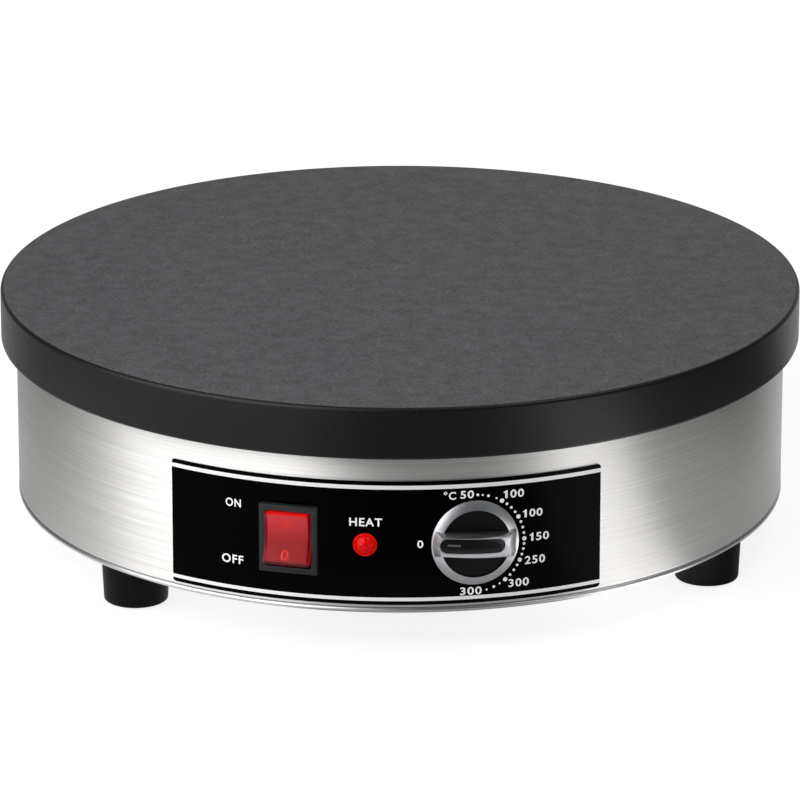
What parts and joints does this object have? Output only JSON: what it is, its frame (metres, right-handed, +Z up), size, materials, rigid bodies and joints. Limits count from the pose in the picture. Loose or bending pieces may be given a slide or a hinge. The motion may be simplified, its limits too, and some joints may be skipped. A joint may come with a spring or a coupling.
{
  "type": "electric crepe maker",
  "caption": "Electric crepe maker: round iron plate on a brushed steel drum with a switch, a lamp and a heat knob at the front, rubber feet and a heating spiral inside.",
  "frame": {"origin": "on the counter, under the middle of the cooking plate", "axes": "+X to the right seen from the front, -Y from the middle of the plate to the control panel's middle, +Z up"},
  "size_m": [0.4, 0.402, 0.126],
  "materials": {
    "plate_iron": "seasoned, fine ground",
    "drum_steel": "brushed round the drum",
    "pan_steel": "bright",
    "shield_steel": "plain rolled sheet",
    "fastener_steel": "zinc plated",
    "foot_rubber": "moulded",
    "panel_film": "glossy black with printed dial",
    "switch_black": "fine texture",
    "rocker_red": "ribbed, lit from behind",
    "rocker_clear": "clear",
    "lens_red": "translucent",
    "bulb_glass": "clear",
    "lamp_black": "plain",
    "knob_black": "fine texture",
    "knob_silver": "brushed",
    "knob_inlay": "glossy with pale pointer line",
    "element_sheath": "heat darkened",
    "ceramic": "unglazed",
    "blanket_fibre": "needled mat",
    "gasket_fibre": "pressed",
    "terminal_brass": "plain",
    "sensor_copper": "plain",
    "lead_brown": "silicone",
    "lead_blue": "silicone",
    "lead_grey": "silicone",
    "lead_green": "silicone with yellow stripe",
    "gland_black": "fine texture",
    "seal_rubber": "plain"
  },
  "bodies": {
    "cooker": {"cooking_plate": "plate_iron", "rim_gasket": "gasket_fibre", "heating_element": "element_sheath", "element_bushes": "ceramic", "element_pins": "fastener_steel", "clamp_bars": "shield_steel", "clamp_studs": "fastener_steel", "clamp_nuts": "fastener_steel", "insulation_blanket": "blanket_fibre", "heat_shield": "shield_steel", "tie_rod": "fastener_steel", "tie_rod_nut": "fastener_steel", "tie_rod_washer": "fastener_steel", "drum_shell": "drum_steel", "base_pan": "pan_steel", "base_screws": "fastener_steel", "foot_front_left": "foot_rubber", "foot_front_right": "foot_rubber", "foot_rear_left": "foot_rubber", "foot_rear_right": "foot_rubber", "foot_bolts": "fastener_steel", "foot_washers": "fastener_steel", "foot_nuts": "fastener_steel", "control_panel": "panel_film", "switch_housing": "switch_black", "switch_terminals": "terminal_brass", "switch_bulb": "bulb_glass", "lamp_lens": "lens_red", "lamp_barrel": "lamp_black", "lamp_nut": "lamp_black", "thermostat_bracket": "shield_steel", "thermostat_body": "ceramic", "thermostat_screws": "fastener_steel", "thermostat_terminals": "terminal_brass", "thermostat_bulb": "sensor_copper", "capillary": "sensor_copper", "gland_body": "gland_black", "gland_locknut": "gland_black", "gland_seal": "seal_rubber", "gland_cap": "gland_black", "terminal_block": "ceramic", "block_screws": "terminal_brass", "earth_stud": "terminal_brass", "live_leads": "lead_brown", "neutral_leads": "lead_blue", "lamp_leads": "lead_grey", "earth_lead": "lead_green"},
    "rocker": {"rocker_core": "rocker_red", "rocker_cap": "rocker_clear"},
    "knob": {"knob_body": "knob_black", "knob_trim": "knob_silver", "knob_inlay": "knob_inlay", "thermostat_shaft": "fastener_steel"}
  },
  "joints": [
    {"name": "rocker_tilt", "type": "hinge", "parent": "cooker", "child": "rocker", "pos_m": [-0.04425, -0.18502, 0.0562], "axis": [0.9726, -0.2326, 0], "range_deg": [0, 16]},
    {"name": "knob_turn", "type": "hinge", "parent": "cooker", "child": "knob", "pos_m": [0.04312, -0.18751, 0.0556], "axis": [-0.2241, 0.9746, 0], "range_deg": [0, 270]}
  ]
}
